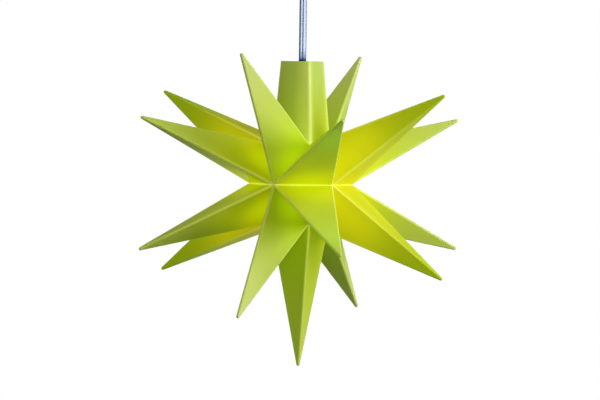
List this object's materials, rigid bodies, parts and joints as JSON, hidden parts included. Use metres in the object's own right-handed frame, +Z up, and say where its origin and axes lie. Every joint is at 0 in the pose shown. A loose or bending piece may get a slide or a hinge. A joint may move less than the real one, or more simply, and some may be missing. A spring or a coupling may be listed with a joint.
{
  "type": "moravian star light",
  "caption": "Hanging star light: a hollow many-pointed moulded shell with a square neck, lit from inside by a slim lamp, on a clear flat flex from a ceiling cup.",
  "frame": {"origin": "centre of the fixing plate's top face, on the ceiling", "axes": "+Z up, out of the ceiling; X through the two fixing holes and the star's broad points; Y through its steep points; the star hangs along -Z"},
  "size_m": [0.113, 0.0926, 0.169],
  "materials": {
    "star_plastic": "satin moulded polyethylene, translucent, lit from inside",
    "clear_flex": "clear extruded vinyl over two stranded cores",
    "core_insulation": "thin extruded vinyl",
    "cup_enamel": "smooth white enamel on spun steel",
    "plated_steel": "zinc-plated steel",
    "brass": "turned brass",
    "white_nylon": "moulded nylon",
    "white_abs": "moulded white plastic",
    "black_rubber": "moulded rubber",
    "resistor_lacquer": "dipped lacquer",
    "shrink_tube": "heat-shrunk sleeve",
    "tinned_wire": "tinned wire",
    "lamp_lens": "cast epoxy, warm white glow"
  },
  "bodies": {
    "ceiling": {"ceiling_plate": "plated_steel", "canopy": "cup_enamel", "canopy_screws": "plated_steel", "terminal_block": "white_nylon", "terminal_sleeves": "brass", "terminal_screws": "plated_steel", "block_screw": "plated_steel", "cord_grip": "white_nylon", "grip_nut": "white_nylon", "grip_screw": "white_nylon", "cord_tail": "clear_flex", "tail_cores": "core_insulation"},
    "cord": {"pendant_cord": "clear_flex"},
    "lamp": {"holder_cap": "white_abs", "holder_barrel": "white_abs", "grip_ring": "black_rubber", "cord_crimp": "plated_steel", "cord_end": "clear_flex", "cord_cores": "core_insulation", "resistor": "resistor_lacquer", "shrink_sleeves": "shrink_tube", "led_legs": "tinned_wire", "led": "lamp_lens"},
    "star": {"neck_collar": "white_abs", "upper_shell": "star_plastic", "lower_shell": "star_plastic"}
  },
  "joints": [
    {"name": "cord_swing", "type": "hinge", "parent": "ceiling", "child": "cord", "pos_m": [0, 0, -0.026], "axis": [0.8829, 0.4695, 0], "range_deg": [-25, 25]},
    {"name": "cord_twist", "type": "hinge", "parent": "cord", "child": "lamp", "pos_m": [0, 0, -0.0603], "axis": [0, 0, 1], "range_deg": [-180, 180]},
    {"name": "star_pull", "type": "slide", "parent": "lamp", "child": "star", "axis": [0, 0, -1], "range_m": [0, 0.05]}
  ]
}
